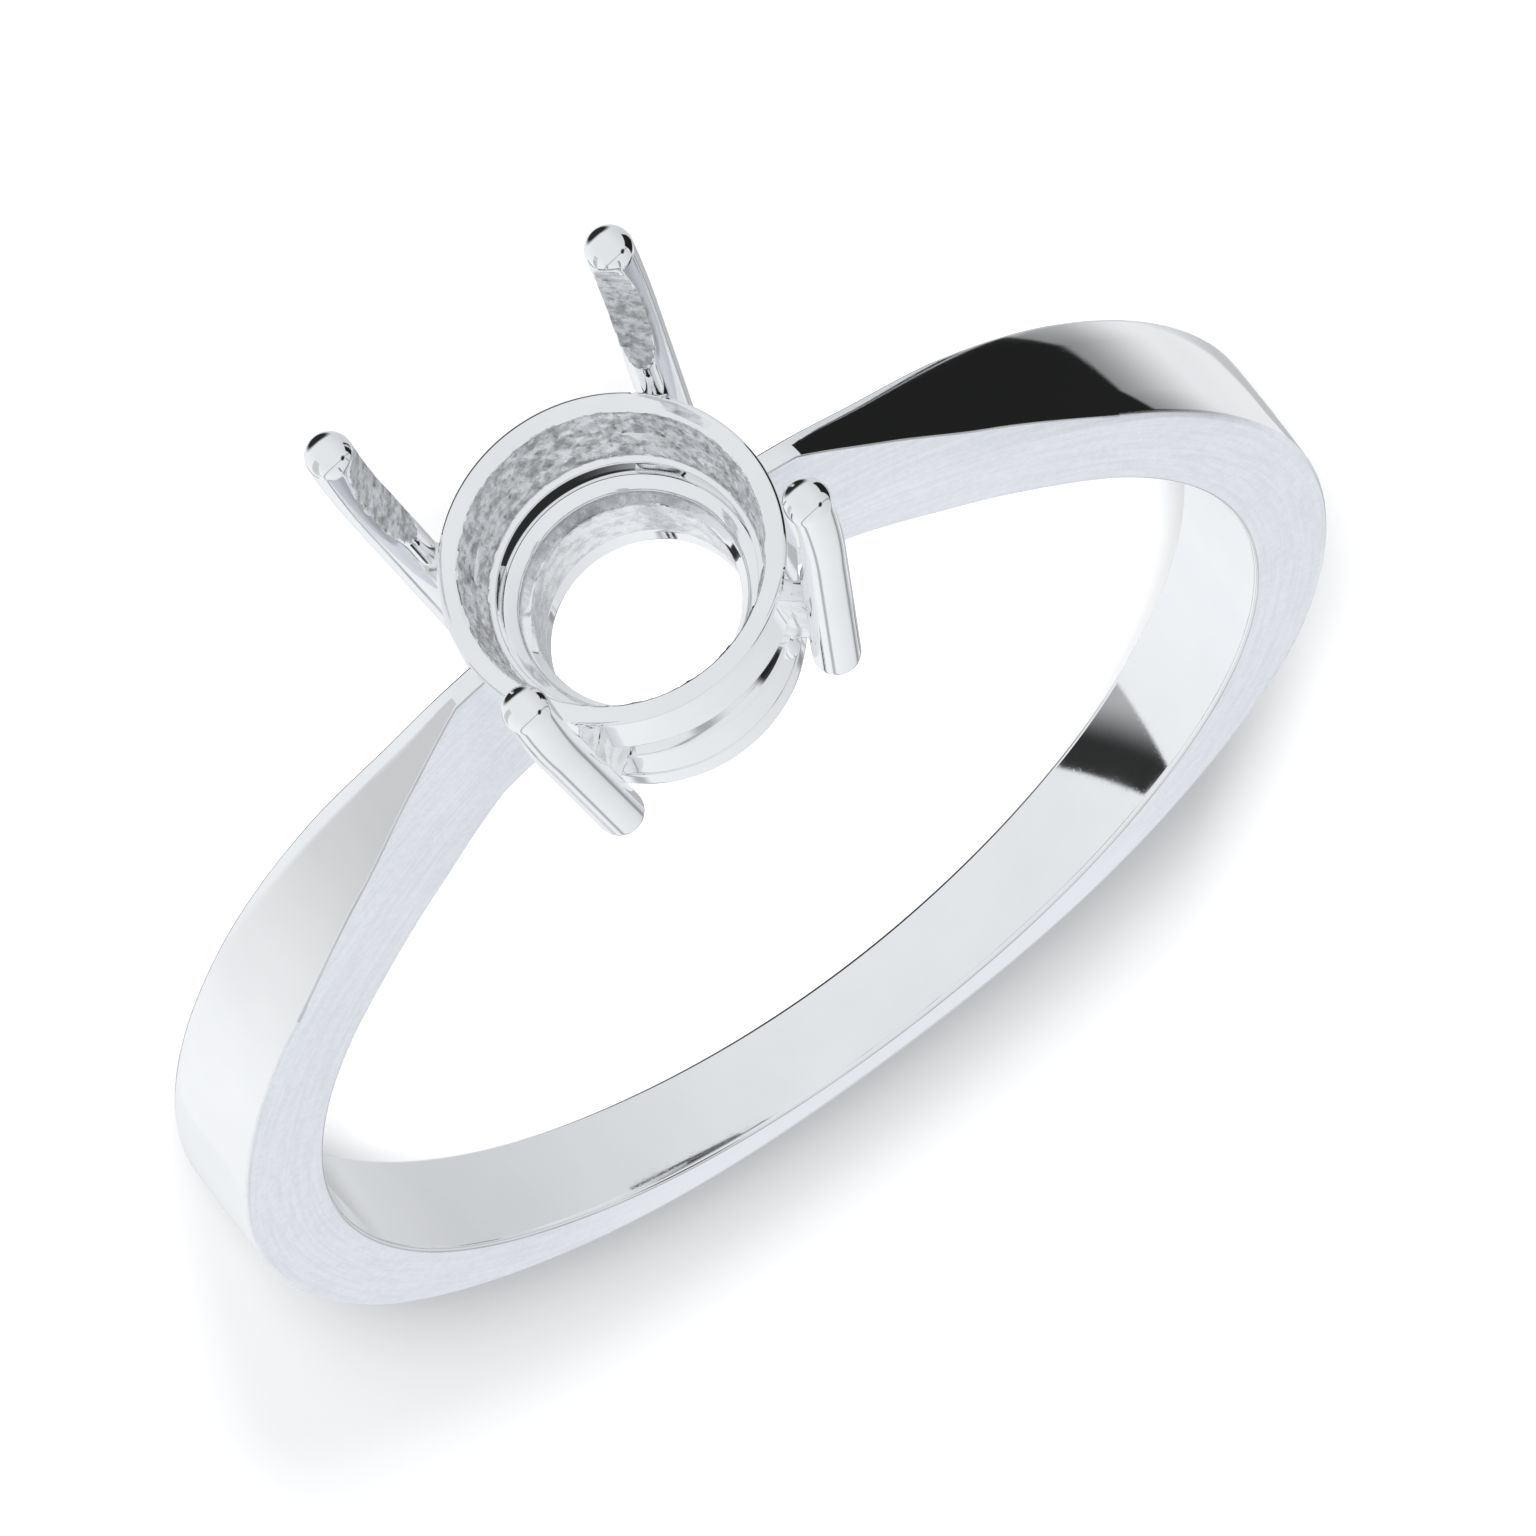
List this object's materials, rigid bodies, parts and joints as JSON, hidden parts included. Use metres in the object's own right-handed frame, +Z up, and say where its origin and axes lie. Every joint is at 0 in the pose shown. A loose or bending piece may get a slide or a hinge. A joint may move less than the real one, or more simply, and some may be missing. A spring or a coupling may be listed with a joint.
{
  "type": "semi mount ring setting",
  "caption": "Solitaire ring in polished white metal without its stone: a flat-sided shank pinched thin at the shoulders, and a slotted gallery with prongs for one round stone.",
  "frame": {"origin": "under the middle of the box of the ring as it lies on a table", "axes": "+Y from the bottom of the shank towards the head, +Z up from the table, close to the axis of the finger hole, +X across the ring from side to side"},
  "size_m": [0.0202, 0.025, 0.0061],
  "materials": {
    "ring_mount": "polished white metal, satin on the flat sides of the shank, cast texture inside the head"
  },
  "bodies": {
    "root": {"ring_mount": "ring_mount"}
  },
  "joints": []
}
